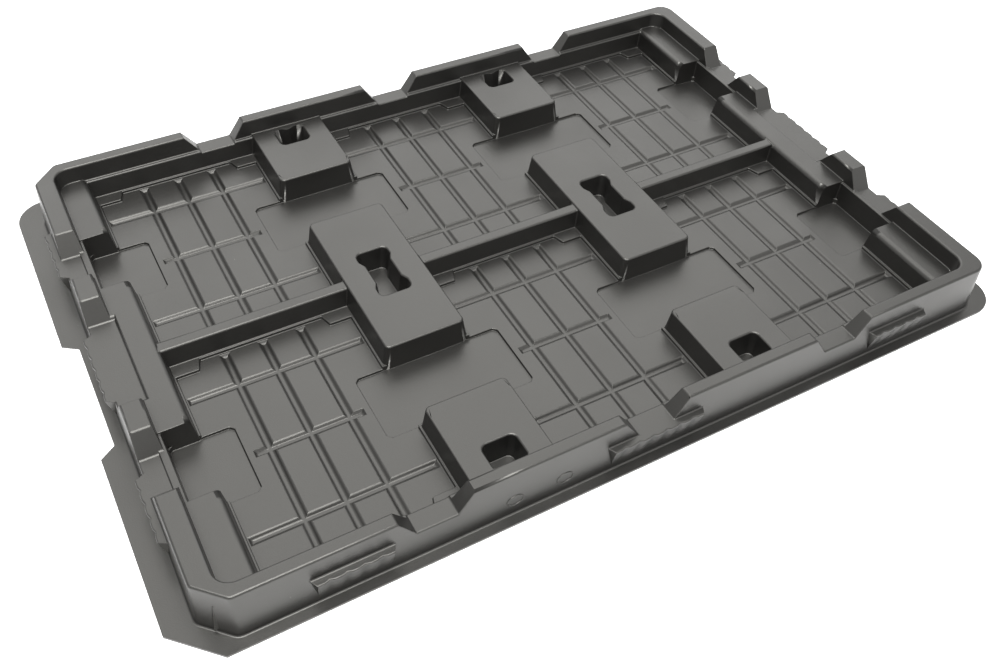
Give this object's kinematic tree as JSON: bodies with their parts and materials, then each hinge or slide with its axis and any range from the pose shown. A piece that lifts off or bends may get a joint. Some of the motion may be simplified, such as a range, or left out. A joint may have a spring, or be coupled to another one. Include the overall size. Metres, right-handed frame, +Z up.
{
  "type": "thermoformed transport tray",
  "caption": "Thin formed plastic tray with shallow rectangular pockets, grooved floors, low partitions, blind sockets and a gapped stacking rim",
  "frame": {"origin": "centre of the tray in plan, on the plane of the flange's underside", "axes": "+X along the long side, +Y towards the rear row of pockets, +Z up out of the pockets"},
  "size_m": [0.3464, 0.2356, 0.0218],
  "materials": {
    "black_plastic": "satin black with fine grain, lightly dusty"
  },
  "bodies": {
    "root": {"tray": "black_plastic"}
  },
  "joints": []
}
